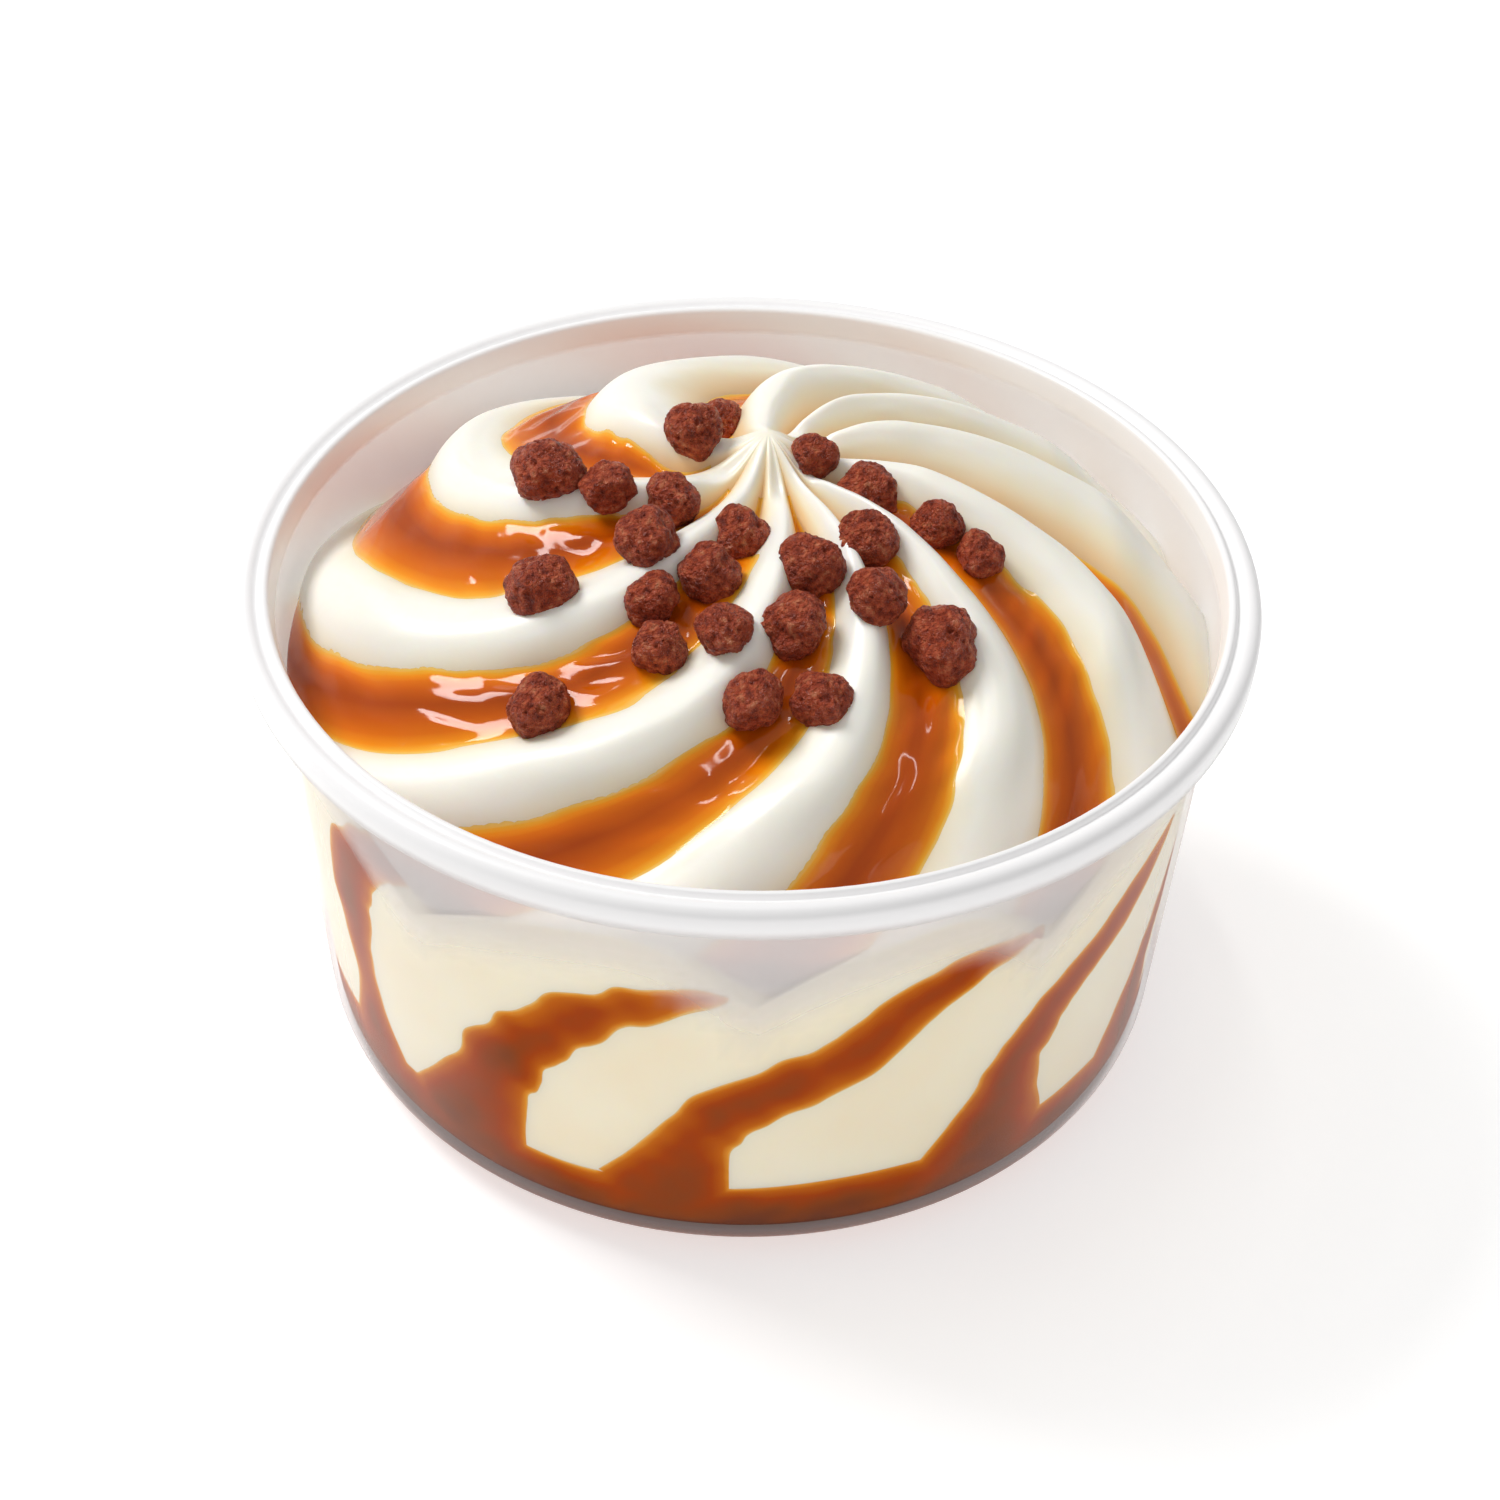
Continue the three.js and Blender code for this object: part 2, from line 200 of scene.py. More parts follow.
# Height as a share of the cup's: how solid the plastic looks there, and its colour. At the foot the
# caramel seen through the clear plastic is painted on as a nearly solid brown colour down to its edge, the
# wall is clear, and the rim is white.
SOLID_BY_HEIGHT = (
    (0.0, grey(0.85)), (0.035, grey(0.80)), (0.08, grey(0.012)), (0.925, grey(0.012)), (0.955, grey(0.97)),
)
COLOUR_AND_PAINTED_FOOT_BY_HEIGHT = (
    (0.075, (0.34, 0.085, 0.02)), (0.11, (0.84, 0.81, 0.80)),
    (0.935, (0.85, 0.82, 0.81)), (0.96, (0.97, 0.96, 0.96)),
)
FROST_SOLID = 0.56
EDGE_SOLID = 0.40

plastic = Paint("frosted_plastic")
plastic.set(IOR=1.45)
plastic_height = plastic.node("SeparateXYZ")
plastic.join(plastic.place(), plastic_height.inputs[0])
plastic_rise = plastic.node("MapRange")
plastic_rise.inputs["From Min"].default_value = 0
plastic_rise.inputs["From Max"].default_value = CUP_HEIGHT * MM
plastic.join(plastic_height.outputs["Z"], plastic_rise.inputs["Value"])
plastic_solid = plastic.node("Math", operation="MAXIMUM")
plastic.join(plastic.ramp(plastic_rise.outputs["Result"], *SOLID_BY_HEIGHT), plastic_solid.inputs[0])
plastic_frost = plastic.node("Attribute", attribute_name="frost")
plastic.join(
    plastic.ramp(plastic_frost.outputs["Fac"], (0.0, grey(0.0)), (1.0, grey(FROST_SOLID))),
    plastic_solid.inputs[1],
)
plastic_edge = plastic.node("LayerWeight")
plastic_edge.inputs["Blend"].default_value = 0.5
plastic_seen = plastic.node("Math", operation="MAXIMUM")
plastic.join(plastic_solid.outputs[0], plastic_seen.inputs[0])
plastic.join(
    plastic.ramp(plastic_edge.outputs["Facing"], (0.45, grey(0.0)), (0.97, grey(EDGE_SOLID))),
    plastic_seen.inputs[1],
)
plastic.join(plastic_seen.outputs[0], plastic.shader.inputs["Alpha"])
# The base colour by height, with the caramel seen through the foot painted on as the plastic's colour.
plastic.join(
    plastic.ramp(plastic_rise.outputs["Result"], *COLOUR_AND_PAINTED_FOOT_BY_HEIGHT), plastic.shader.inputs["Base Color"]
)
plastic.join(
    plastic.ramp(plastic.noise(260), (0.3, grey(0.28)), (0.7, grey(0.40))),
    plastic.shader.inputs["Roughness"],
)
plastic.bump(plastic.noise(900), 0.06, 0.0002)
cup.data.materials.append(plastic.material)

# ---------------------------------------------------------------------------------------------------------
# The ice cream: soft cream piped into the cup in one turn of a star nozzle, so that ridges run from a
# pulled-up peak out to the wall and curl as they go. It fills the cup and is pressed against its wall.
# ---------------------------------------------------------------------------------------------------------

# Distances and sizes are in millimetres, angles in degrees. The cream stands a little into the wall, so
# that no air shows between them.
GAP = 0.3
INTO_WALL = 0.12
# Each ridge: its crest's angle at the middle radius, its turn from the centre out, its hook at the wall.
RIDGES = (
    (170, 76, 46), (222, 48, 44), (262, 37, 42), (292, 27, 28), (319, 8, 24),
    (351, 14, 20), (383, 18, 13), (404, 30, 10), (428, 40, 15), (476, 80, 40),
)
MIDDLE = 27.0
PEAK = (1.4, 7.0)  # where the peak leans to, right and back
PEAK_RISE = 3.0
PEAK_WIDTH = 4.0
DOME_TOP = 57.0
DOME_EDGE = 43.5
BACK_DROP = 3.0
SHOULDER = 3.4
SHOULDER_FROM = 34.0
RIDGE = 3.5
RIDGE_GROWS = 16.0
LEAN = 0.11
# How far from the peak each ridge begins. Those with nought run all the way up.
RIDGE_STARTS = (5.5, 0, 6.0, 0, 5.0, 0, 6.0, 5.5, 0, 4.5)
FILL_RADIUS = outer_radius(DOME_EDGE) - WALL - GAP
FILL_EDGE = FILL_RADIUS + GAP + INTO_WALL
EDGE_ROUNDING = 1.1
CREAM_RINGS = 84
CREAM_STEPS = 420
WALL_STEPS = 84
FLAT = 100.0  # while the cream is spun, its top lies flat up here
# Painted shade: the value of the cream's painted shade where it lies against the wall.
WALL_SHADE = 0.69  # where the cream lies against the wall, between its yellow folds and white crests
FROST_FROM = 6.5
FROST_FULL = 1.0


def smooth(low, high, x):
    t = min(1.0, max(0.0, (x - low) / (high - low)))
    return t * t * (3 - 2 * t)


def crest_angle(number, radius):
    """The angle of a crest at a radius. Crests are counted round and round."""
    turns, index = divmod(number, len(RIDGES))
    angle, twist, hook = RIDGES[index]
    here = radius / FILL_RADIUS
    middle = MIDDLE / FILL_RADIUS
    return angle + twist * (middle - here) + hook * (middle ** 4 - here ** 4) + 360 * turns


def ridge_angle(phase, radius):
    """The angle of a place among the ridges, in radians: whole numbers are the crests."""
    k = math.floor(phase)
    start = crest_angle(k, radius)
    return math.radians(start + (crest_angle(k + 1, radius) - start) * (phase - k))


def phase_at(angle, radius):
    """The place among the ridges at an angle in degrees: the opposite of ridge_angle."""
    while angle < crest_angle(0, radius):
        angle += 360
    while angle >= crest_angle(0, radius) + 360:
        angle -= 360
    k = 0
    while crest_angle(k + 1, radius) <= angle:
        k += 1
    start = crest_angle(k, radius)
    return k + (angle - start) / (crest_angle(k + 1, radius) - start)


def swirl_centre(radius):
    """The rings' middle: it leans back towards the peak."""
    share = max(0.0, 1 - radius / FILL_RADIUS) ** 1.3
    return PEAK[0] * share, PEAK[1] * share


def dome_height(radius, angle):
    """The height of the crests: a dome that is lower at the back and droops at the wall."""
    share = radius / FILL_RADIUS
    edge = DOME_EDGE - BACK_DROP * max(0.0, math.sin(angle))
    height = edge + (DOME_TOP - edge) * (1 - share * share)
    height -= SHOULDER * smooth(SHOULDER_FROM, FILL_RADIUS, radius)
    return height + PEAK_RISE * math.exp(-((radius / PEAK_WIDTH) ** 2))


def ridge_height(radius):
    return RIDGE * smooth(0, RIDGE_GROWS, radius)


def ridge_profile(phase):
    """The ridges' shape across, from 1 on a crest to -1 in a valley, leaning over to one side."""
    leaned = phase + LEAN * math.sin(math.pi * phase) ** 2
    return 2 * abs(math.cos(math.pi * leaned)) ** 1.2 - 1


def ridge_share(phase, radius):
    """How much of a ridge there is: near the peak some ridges run out and leave broad folds between."""
    nearest = RIDGE_STARTS[round(phase) % len(RIDGES)]
    fold = abs(math.cos(math.pi * phase)) ** 2
    return 1 - fold * (1 - smooth(nearest - 3, nearest + 2, radius))


def swirl_point(radius, phase):
    """A point of the cream's surface, by radius and by place among the ridges."""
    angle = ridge_angle(phase, radius)
    cx, cy = swirl_centre(radius)
    profile = (ridge_profile(phase) + 1) * ridge_share(phase, radius) - 1
    z = dome_height(radius, angle) + ridge_height(radius) * profile
    drift = noise.noise(Vector((radius * 0.09, phase * 1.7, 3.1)))
    fine = noise.noise(Vector((radius * 0.25, phase * 9.0, 8.4)))
    z += smooth(4, 12, radius) * (0.45 * drift + 0.12 * fine * smooth(FILL_RADIUS, 36, radius))
    z -= EDGE_ROUNDING * smooth(FILL_RADIUS - 2.5, FILL_EDGE + 1, radius) ** 2
    return Vector((cx + radius * math.cos(angle), cy + radius * math.sin(angle), z))


wall_low = corner_arc(outer_radius(INNER_FLOOR) - WALL + INTO_WALL, INNER_FLOOR - 0.1, CORNER - WALL, 8)
cream_profile = [(0, INNER_FLOOR - 0.1)] + wall_low
corner_top = wall_low[-1][1]
for i in range(1, WALL_STEPS):
    z = corner_top + (DOME_EDGE - corner_top) * i / WALL_STEPS
    cream_profile.append((outer_radius(z) - WALL + INTO_WALL, z))
for i in range(CREAM_RINGS + 1):
    cream_profile.append((FILL_EDGE * (1 - (i / CREAM_RINGS)) ** 0.9, FLAT))

cream_mesh = bmesh.new()
# Painted shade: the crest attribute is about 1 on the crests, which are painted white, and falls to 0 in
# the valleys, which are painted as shaded beige folds. Against the wall it holds WALL_SHADE. Near the
# peak, where the ridges fade, it is raised so that the peak is painted light.
painted_shade_layer = cream_mesh.verts.layers.float.new("crest")
spun(cream_mesh, cream_profile, CREAM_STEPS)
for vert in cream_mesh.verts:
    x, y, z = vert.co / MM
    radius = math.hypot(x, y)
    phase = (math.atan2(y, x) % (2 * math.pi)) / (2 * math.pi) * len(RIDGES)
    vert[painted_shade_layer] = WALL_SHADE
    if z > FLAT - 1:
        crest_shade = 0.5 + 0.5 * ridge_profile(phase) * smooth(0, 8, radius)
        vert[painted_shade_layer] = crest_shade + 0.34 * smooth(8, 0, radius)
        vert.co = swirl_point(radius, phase) * MM
    elif z > corner_top + 0.01:
        edge = swirl_point(FILL_EDGE, phase).z
        height = corner_top + (edge - corner_top) * (z - corner_top) / (DOME_EDGE - corner_top)
        angle = ridge_angle(phase, FILL_EDGE)
        radius = outer_radius(height) - WALL + INTO_WALL
        vert.co = Vector((radius * math.cos(angle), radius * math.sin(angle), height)) * MM
    else:
        angle = ridge_angle(phase, FILL_EDGE)
        vert.co = Vector((radius * math.cos(angle), radius * math.sin(angle), z)) * MM
bmesh.ops.remove_doubles(cream_mesh, verts=cream_mesh.verts, dist=1e-6)
whole_fill = cream_mesh.copy()
cream = finished(cream_mesh, "piped_ice_cream", "cream", "ice_cream")

# Painted shade: the cream's colour runs from a dark yellow beige in the folds, warmed as if by light
# bounced off the caramel, to ivory white on the crests, with a little random tone from noise.
CREAM_COLOURS_WITH_PAINTED_SHADE = (
    (0.30, (0.82, 0.55, 0.26)), (0.58, (0.90, 0.69, 0.41)),
    (0.80, (0.94, 0.84, 0.63)), (1.0, (0.97, 0.93, 0.83)),
)
cream_paint = Paint("soft_cream")
cream_paint.set(
    Roughness=0.38, Subsurface_Weight=0.35, Subsurface_Scale=0.003, Coat_Weight=0.15, Coat_Roughness=0.25,
)
cream_paint.shader.inputs["Subsurface Radius"].default_value = (1.0, 0.75, 0.45)
cream_painted_shade = cream_paint.node("Attribute", attribute_name="crest")
cream_shade = cream_paint.node("Math", operation="MULTIPLY_ADD")
cream_shade.inputs[1].default_value = 0.2
cream_paint.join(cream_paint.noise(90), cream_shade.inputs[0])
cream_paint.join(cream_painted_shade.outputs["Fac"], cream_shade.inputs[2])
cream_paint.join(
    cream_paint.ramp(cream_shade.outputs[0], *CREAM_COLOURS_WITH_PAINTED_SHADE), cream_paint.shader.inputs["Base Color"]
)
cream_paint.bump(cream_paint.noise(420, 4), 0.12, 0.0004)
cream.data.materials.append(cream_paint.material)

# Where the cream doesn't press against the wall, its frost shows and makes it milky.
frost_values = []
for vert in cup.data.vertices:
    x, y, z = vert.co / MM
    cream_edge = swirl_point(FILL_EDGE, phase_at(math.degrees(math.atan2(y, x)), FILL_EDGE)).z
    frost_values.append(smooth(cream_edge - FROST_FROM, cream_edge - FROST_FULL, z))
cup.data.attributes.new("frost", "FLOAT", "POINT").data.foreach_set("value", frost_values)

# ---------------------------------------------------------------------------------------------------------
# The caramel under and behind the cream: a layer poured over the cup's floor, and streaks swiped up the
# inside of the wall before the cream went in. It is thick and dark in the middle, thin and amber at edges.
# ---------------------------------------------------------------------------------------------------------

POOL_LEVEL = 10.3
POOL_WAVE = 0.6
POOL_WAVES = 5
STREAK_DEPTH = 3.5
# Each streak from its root in the floor layer to its tip: angle and height of its middle line, its width.
STREAKS = [
    (
        (215, 8, 12), (214, 17, 5), (213, 25, 6.5), (214, 32, 8),
        (219, 37, 6.5), (226, 39.3, 4), (236, 39.3, 1.4),
    ),
    (
        (233, 8, 15), (237.5, 17, 8.5), (241, 22, 8), (246, 27, 6.6),
        (253, 31.5, 5.6), (260, 34.3, 4.4), (269, 36, 1.4),
    ),
    (
        (261, 8, 13), (265, 16, 7.5), (269, 20.5, 7), (277, 24.5, 7),
        (284, 27.5, 6.8), (291, 32.5, 6), (299, 35.5, 4), (308, 37, 1.4),
    ),
    (
        (304, 8, 16), (306, 16, 9), (308.5, 21, 7), (313, 25.3, 5.6),
        (320, 28.7, 5), (327, 32, 5), (336, 36, 1.6),
    ),
    ((333, 8, 13), (336, 16, 7), (341, 22, 5.5), (349, 28, 5), (360, 33, 1.6)),
]
# The streaks at the back: which streak each is like, and by how many degrees it is turned.
for like, turn in ((3, 62), (2, 150), (1, 218), (4, 146)):
    STREAKS.append([(angle + turn, z, width) for angle, z, width in STREAKS[like]])
STREAK_RINGS = 120
STREAK_ACROSS = 14
COURSE_STEP = 0.02
RAGGED = 0.9
TIP = 0.93
LINE_POINTS = 240


def streak_at(streak, share):
    """A streak's angle, height and width at a share of its course, on a smooth curve."""
    last = len(streak) - 1
    k = min(last - 1, int(share * last))
    t = share * last - k
    a, b, c, d = (Vector(streak[min(last, max(0, m))]) for m in (k - 1, k, k + 1, k + 2))
    return b + (t / 2) * (c - a + t * (2 * a - 5 * b + 4 * c - d + t * (3 * (b - c) + d - a)))


def streak_place(streak, share, across):
    """A place on a streak, by share of its course and side: its angle, its height and half the width."""
    angle, z, width = streak_at(streak, share)
    before = streak_at(streak, max(0.0, share - COURSE_STEP))
    after = streak_at(streak, min(1.0, share + COURSE_STEP))
    wall = outer_radius(z)
    course = Vector((math.radians(after[0] - before[0]) * wall, after[1] - before[1])).normalized()
    side = 1 if across > 0 else -1
    ragged = noise.noise(Vector((share * 9, streak[0][0] + side, 4)))
    ragged += 0.4 * noise.noise(Vector((share * 15, streak[0][0] + side, 7)))
    ragged *= smooth(0, 0.2, share) * smooth(1.0, 0.9, share)
    half = width / 2 + RAGGED * ragged
    end = math.sqrt(max(0.02, 1 - max(0.0, (share - TIP) / (1 - TIP)) ** 2))
    away = across * max(0.2, half) * end
    return math.radians(angle) - course.y * away / wall, z + course.x * away, half


def pool_level(angle):
    """The floor layer's height at the wall."""
    wave = POOL_WAVE * math.sin(POOL_WAVES * angle + 1)
    return POOL_LEVEL + wave + 1.0 * noise.noise(Vector((3 * math.cos(angle), 3 * math.sin(angle), 2)))


def caramel_cutter(name):
    """The space that the caramel takes: the floor layer and the streaks, out past the wall."""
    reach = WALL_TOP + 3
    mesh = bmesh.new()
    disc = bmesh.ops.create_circle(mesh, cap_ends=True, cap_tris=True, segments=240, radius=reach * MM)
    for vert in disc["verts"]:
        vert.co.z = -0.002
    grown = bmesh.ops.extrude_face_region(mesh, geom=mesh.faces[:])
    for vert in [v for v in grown["geom"] if isinstance(v, bmesh.types.BMVert)]:
        angle = math.atan2(vert.co.y, vert.co.x)
        middle = vert.co.length < 0.03
        vert.co.z = (POOL_LEVEL if middle else pool_level(angle)) * MM
    bmesh.ops.recalc_face_normals(mesh, faces=mesh.faces)
    pieces = [mesh]
    for streak in STREAKS:
        band = bmesh.new()
        bmesh.ops.create_grid(band, x_segments=STREAK_ACROSS, y_segments=STREAK_RINGS, size=0.5)
        inner = band.verts[:]
        flat = {}
        for vert in inner:
            flat[vert] = (vert.co.x * 2, vert.co.y + 0.5)
        shell = bmesh.ops.extrude_face_region(band, geom=band.faces[:])
        outer = [v for v in shell["geom"] if isinstance(v, bmesh.types.BMVert)]
        for vert in outer:
            flat[vert] = (vert.co.x * 2, vert.co.y + 0.5)
        outer = set(outer)
        for vert, (across, share) in flat.items():
            angle, z, _ = streak_place(streak, share, across)
            depth = STREAK_DEPTH * (1 - 0.6 * share) * (1 - 0.85 * across * across)
            radius = reach if vert in outer else outer_radius(z) - WALL - depth
            vert.co = Vector((radius * math.cos(angle), radius * math.sin(angle), z)) * MM
        if band.calc_volume(signed=True) < 0:
            bmesh.ops.reverse_faces(band, faces=band.faces)
        pieces.append(band)
    cutters = []
    for number, part in enumerate(pieces):
        data = bpy.data.meshes.new(name + str(number))
        part.to_mesh(data)
        part.free()
        cutter = bpy.data.objects.new(name + str(number), data)
        bpy.context.scene.collection.objects.link(cutter)
        cutters.append(cutter)
    return cutters


def cut(piece, operation, others):
    """Cuts a piece by others, one Boolean on their collection, and applies it."""
    group = bpy.data.collections.new("cutters")
    for other in others:
        group.objects.link(other)
    step = piece.modifiers.new("cut", "BOOLEAN")
    step.operation = operation
    step.solver = "MANIFOLD"
    step.operand_type = "COLLECTION"
    step.collection = group
    done = bpy.data.meshes.new_from_object(piece.evaluated_get(bpy.context.evaluated_depsgraph_get()))
    done.set_sharp_from_angle(angle=math.radians(50))
    piece.modifiers.clear()
    materials = list(piece.data.materials)
    piece.data = done
    piece.data.materials.clear()
    for material in materials:
        piece.data.materials.append(material)
    bpy.data.collections.remove(group)


base = finished(whole_fill, "caramel_layer_and_streaks", "caramel", "caramel_base")
cutters = caramel_cutter("caramel_space")
first = cutters[0]
cut(first, "UNION", cutters[1:])
cut(cream, "DIFFERENCE", [first])
cut(base, "INTERSECT", [first])
for cutter in cutters:
    bpy.data.objects.remove(cutter)

# The cut's new edges have no painted shade of their own yet: they get the cream's painted shade at the
# wall.
crest_values = cream.data.attributes["crest"].data
for vert, crest in zip(cream.data.vertices, crest_values):
    x, y, z = vert.co / MM
    if math.hypot(x, y) > outer_radius(z) - WALL - 0.1:
        crest.value = max(WALL_SHADE, crest.value)


# The streaks' middle lines, with half the width on either side, to find a place's way in from the edge.
line_points = []
line_sides = []
for streak in STREAKS:
    for i in range(LINE_POINTS + 1):
        angle, z, left_half = streak_place(streak, i / LINE_POINTS, -0.01)
        beside, higher, right_half = streak_place(streak, i / LINE_POINTS, 1)
        wall = outer_radius(z)
        line_points.append(Vector((wall * math.cos(angle), wall * math.sin(angle), z)))
        side = Vector((wall * math.cos(beside), wall * math.sin(beside), higher))
        line_sides.append((side - line_points[-1], left_half, right_half))
line_tree = kdtree.KDTree(len(line_points))
for i, point in enumerate(line_points):
    line_tree.insert(point, i)
line_tree.balance()


def caramel_at_wall(point):
    """How thick the caramel is, in millimetres, behind a point of the wall; below nought outside it."""
    here = point / MM
    below = pool_level(math.atan2(here.y, here.x)) - here.z
    thick = 1.8 * (1 - math.exp(-max(-0.5, below) / 1.2)) + 0.31 * max(0.0, below)
    nearest, index, distance = line_tree.find(here)
    across, left_half, right_half = line_sides[index]
    half = right_half if (here - nearest).dot(across) > 0 else left_half
    inside = half - distance
    thick = max(thick, 3.1 * (1 - math.exp(-max(-0.5, inside) / 1.9)))
    patchy = noise.noise(here * 0.16) + 0.5 * noise.noise(here * 0.5)
    return thick * (1 + 0.3 * patchy)


thickness_values = [caramel_at_wall(vert.co) for vert in base.data.vertices]
base.data.attributes.new("thickness", "FLOAT", "POINT").data.foreach_set("value", thickness_values)


def caramel_paint(name, deepest, stops, bump, shine):
    """Caramel that is amber where it is thin, and dark where it is deepest, in millimetres."""
    paint = Paint(name)
    paint.set(
        Roughness=0.09, IOR=1.38, Specular_IOR_Level=shine, Subsurface_Weight=0.2, Subsurface_Scale=0.0015,
    )
    paint.shader.inputs["Subsurface Radius"].default_value = (1.0, 0.3, 0.05)
    thickness = paint.node("Attribute", attribute_name="thickness")
    share = paint.node("MapRange")
    share.inputs["From Max"].default_value = deepest
    paint.join(thickness.outputs["Fac"], share.inputs["Value"])
    paint.join(paint.ramp(share.outputs["Result"], *stops), paint.shader.inputs["Base Color"])
    paint.bump(paint.noise(160, 2), bump, 0.0006)
    return paint.material


base.data.materials.append(
    caramel_paint(
        "caramel_behind_wall", 4.0,
        (
            (0.0, (0.86, 0.52, 0.17)), (0.06, (0.78, 0.30, 0.03)), (0.22, (0.56, 0.13, 0.003)),
            (0.50, (0.38, 0.052, 0.001)), (0.72, (0.25, 0.055, 0.010)), (1.0, (0.15, 0.042, 0.018)),
        ),
        0.05, 0.0,
    )
)

# ---------------------------------------------------------------------------------------------------------
# The caramel sauce on top: glossy, runny, poured over the swirl so that it stands in the valleys between
# ridges. Its edge creeps up the cream as a thin amber film; where it is deep it is dark orange.
# ---------------------------------------------------------------------------------------------------------

# How full each valley is, from the valley after the first ridge on. 0 is dry.
VALLEY_SAUCE = (0.70, 0.68, 0.66, 0.70, 0.62, 0.32, 0, 0, 0.32, 0.66)
SAUCE_FROM = 5.0
SAUCE_TO = FILL_EDGE - 0.4
SAUCE_ALONG = 150
SAUCE_ACROSS = 56
SAUCE_SIDE = 3.0


def sauce_over_cream(radius, phase, fullness):
    """The sauce's depth over the cream, in millimetres; below nought where the cream stands dry."""
    broad = noise.noise(Vector((radius * 0.16, phase * 3, 5)))
    small = noise.noise(Vector((radius * 0.5, phase * 7, 9)))
    uneven = 1 + 0.16 * broad + 0.07 * small
    start = 1 - 0.9 * (1 - smooth(5, 14, radius))
    level = 2 * fullness * uneven * start - 1
    return ridge_height(radius) * (level - ridge_profile(phase))


def sauce_depth(radius, phase, fullness):
    """The depth with a wetted edge: it thins to a film and then passes under the cream."""
    bare = sauce_over_cream(radius, phase, fullness)
    return 0.5 * (bare + math.sqrt(bare * bare + 0.25)) - 0.16


def sauce_piece(valley, fullness):
    """The sauce in one valley: its top, and sides that go down into the cream."""
    mesh = bmesh.new()
    bmesh.ops.create_grid(mesh, x_segments=SAUCE_ACROSS, y_segments=SAUCE_ALONG, size=0.5)
    depth_layer = mesh.verts.layers.float.new("thickness")
    top = mesh.verts[:]
    for vert in top:
        phase = valley + 0.02 + 0.96 * (vert.co.x + 0.5)
        radius = SAUCE_FROM + (SAUCE_TO - SAUCE_FROM) * (vert.co.y + 0.5)
        depth = sauce_depth(radius, phase, fullness)
        vert[depth_layer] = max(0.0, depth)
        point = swirl_point(radius, phase)
        vert.co = (point + Vector((0, 0, depth))) * MM
    under = bmesh.ops.extrude_face_region(mesh, geom=mesh.faces[:])
    for vert in [v for v in under["geom"] if isinstance(v, bmesh.types.BMVert)]:
        vert.co.z -= SAUCE_SIDE * MM
        vert.co.x *= 0.995
        vert.co.y *= 0.995
    name = "caramel_sauce_%02d" % (valley + 1)
    piece = finished(mesh, "valley_sauce_%02d" % (valley + 1), "caramel", name)
    piece.data.materials.append(sauce_look)
    return piece


sauce_look = caramel_paint(
    "caramel_sauce", 4.5,
    (
        (0.0, (0.92, 0.60, 0.16)), (0.025, (0.92, 0.42, 0.03)), (0.10, (0.86, 0.27, 0.006)),
        (0.28, (0.70, 0.155, 0.002)), (0.6, (0.56, 0.10, 0.001)), (1.0, (0.40, 0.06, 0.001)),
    ),
    0.30, 0.5,
)
for valley, fullness in enumerate(VALLEY_SAUCE):
    if fullness > 0:
        sauce_piece(valley, fullness)

# ---------------------------------------------------------------------------------------------------------
# The chocolate balls: puffed cereal crisps coated in milk chocolate. Each is lumpy and pitted in its own
# way, and sits half sunk in cream or sauce where it fell.
# ---------------------------------------------------------------------------------------------------------

BALL_DETAIL = 5
BALL_FIT = 0.98
CHOCOLATE_COLOURS = (
    (0.30, (0.20, 0.020, 0.006)), (0.5, (0.46, 0.066, 0.021)),
    (0.60, (0.58, 0.11, 0.040)), (0.72, (0.74, 0.25, 0.12)),
)
chocolate = Paint("chocolate_crisp")
chocolate.set(Roughness=0.38, IOR=1.45)
chocolate.join(
    chocolate.ramp(chocolate.noise(1300, 5), *CHOCOLATE_COLOURS), chocolate.shader.inputs["Base Color"]
)
chocolate.bump(chocolate.noise(3000, 5), 1.0, 0.0012)


def crisp_radius(direction, number):
    """A crisp's outline: two or three broad lumps, smaller knobs, and pits."""
    seed = Vector((number * 3.7, number * 1.3, number * 7.1))
    lumps = 0.26 * noise.noise(direction * 1.0 + seed)
    knobs = 0.10 * noise.noise(direction * 2.2 + seed)
    bends = Vector([noise.noise(direction * 3 + seed * k) for k in (1, 2, 3)])
    distances, _ = noise.voronoi(direction * 2.0 + bends * 0.6 + seed)
    pits = 0.09 * min(0.3, distances[1] - distances[0]) - 0.02
    fine = 0.035 * noise.noise(direction * 7 + seed) + 0.026 * noise.noise(direction * 16 + seed)
    grain = 0.016 * noise.noise(direction * 34 + seed)
    hole = noise.noise(direction * 6.5 - seed)
    return 1 + lumps + knobs + pits + fine + grain - 0.09 * smooth(0.34, 0.5, hole)


ball_nodes = sorted(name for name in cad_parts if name.startswith("choc_ball_"))
for number, node in enumerate(ball_nodes):
    low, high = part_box(node)
    middle = (low + high) / 2
    size = (high - low) / 2
    mesh = bmesh.new()
    bmesh.ops.create_icosphere(mesh, subdivisions=BALL_DETAIL, radius=1)
    for vert in mesh.verts:
        direction = vert.co.normalized()
        reach = crisp_radius(direction, number)
        vert.co = middle + Vector([direction[i] * size[i] * reach * BALL_FIT for i in range(3)])
    ball = finished(mesh, "crisp_" + node[-2:], "chocolate", node)
    ball.data.materials.append(chocolate.material)

# ---------------------------------------------------------------------------------------------------------
# The stage: a plain white floor, soft light from a large panel at the upper left behind the cup, a weaker
# one in front, and the camera at the photograph's place.
# ---------------------------------------------------------------------------------------------------------

FLOOR_REACH = 3.0
WORLD_LIGHT = 0.40
AIM = (0, 0, 0.03)

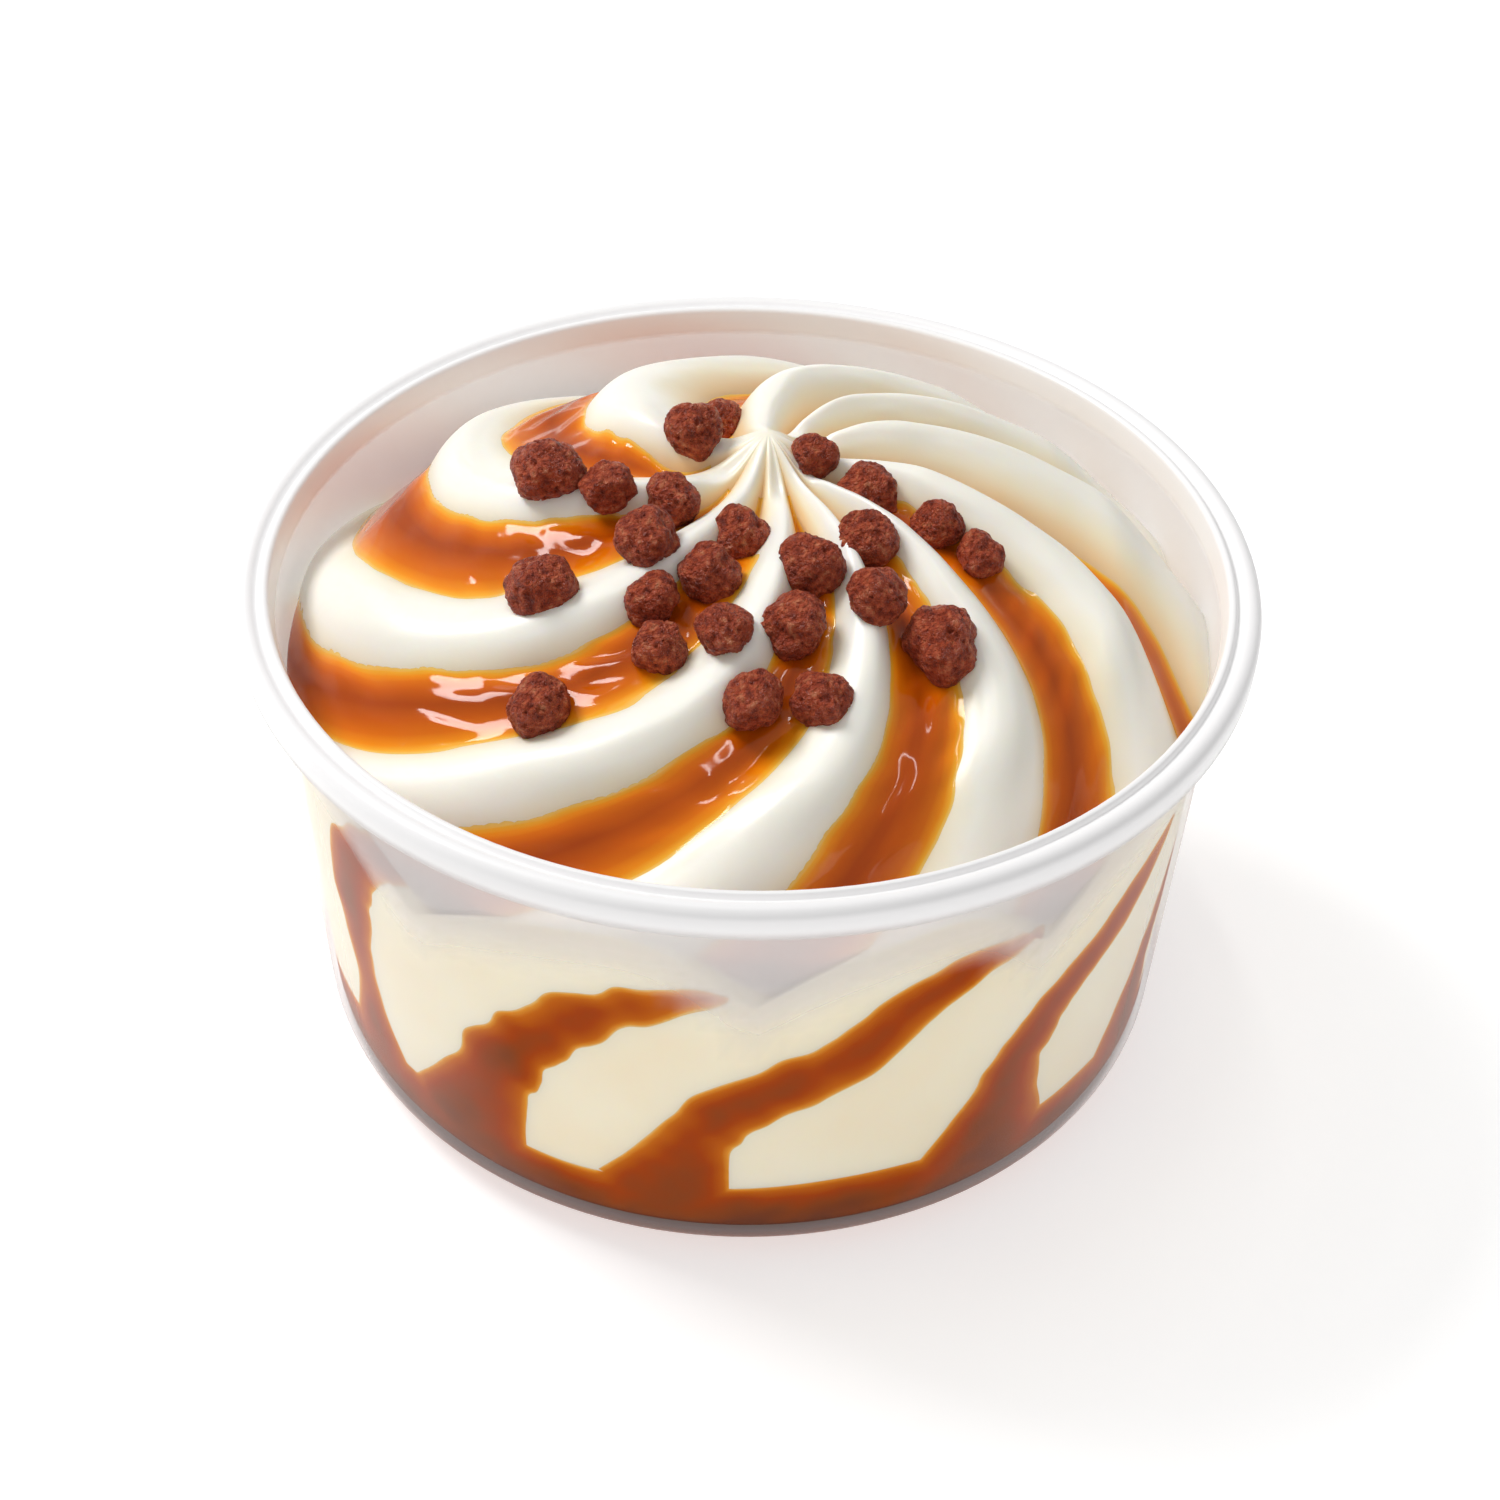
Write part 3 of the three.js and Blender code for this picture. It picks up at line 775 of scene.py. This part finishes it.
floor_mesh = bmesh.new()
bmesh.ops.create_grid(floor_mesh, x_segments=1, y_segments=1, size=FLOOR_REACH)
floor_data = bpy.data.meshes.new("floor")
floor_mesh.to_mesh(floor_data)
floor_mesh.free()
floor = bpy.data.objects.new("floor", floor_data)
bpy.context.scene.collection.objects.link(floor)
white = Paint("white_floor")
white.set(
    Base_Color=(0.72, 0.72, 0.72, 1), Roughness=0.9, Emission_Color=(1, 1, 1, 1), Emission_Strength=0.56,
)
floor.data.materials.append(white.material)

world = bpy.data.worlds.new("studio")
world.use_nodes = True
world.node_tree.nodes["Background"].inputs["Color"].default_value = (1, 1, 1, 1)
world.node_tree.nodes["Background"].inputs["Strength"].default_value = WORLD_LIGHT
bpy.context.scene.world = world
bpy.context.scene.view_settings.view_transform = "Standard"


def panel(name, place, width, height, power):
    """A flat studio light, in metres and watts, turned to the cup."""
    light = bpy.data.lights.new(name, "AREA")
    light.shape = "RECTANGLE"
    light.size = width
    light.size_y = height
    light.energy = power
    lamp = bpy.data.objects.new(name, light)
    lamp.location = place
    lamp.rotation_euler = (Vector(AIM) - Vector(place)).to_track_quat("-Z", "Y").to_euler()
    bpy.context.scene.collection.objects.link(lamp)


panel("key_panel", (-0.50, 0.28, 0.72), 0.34, 0.34, 5.7)
panel("front_panel", (0.25, -0.9, 0.55), 0.5, 0.5, 0.8)
panel("top_strip", (-0.03, 0.12, 0.80), 0.03, 0.28, 0.45)

ELEVATION = math.radians(40.1)
ROLL = math.radians(1.5)
DISTANCE = 0.300
TARGET = Vector((0.0005, 0, 0.0274))
LENS = 73.69
SENSOR = 36
back = Vector((0, -math.cos(ELEVATION), math.sin(ELEVATION)))
right = Vector((1, 0, 0))
up = back.cross(right)
turned_right = right * math.cos(ROLL) + up * math.sin(ROLL)
turned_up = up * math.cos(ROLL) - right * math.sin(ROLL)
lens = bpy.data.cameras.new("camera")
lens.sensor_width = SENSOR
lens.lens = LENS
lens.clip_start = 0.01
lens.clip_end = 20
camera = bpy.data.objects.new("camera", lens)
place = Matrix((turned_right, turned_up, back)).transposed().to_4x4()
place.translation = TARGET + back * DISTANCE
camera.matrix_world = place
bpy.context.scene.collection.objects.link(camera)
bpy.context.scene.camera = camera
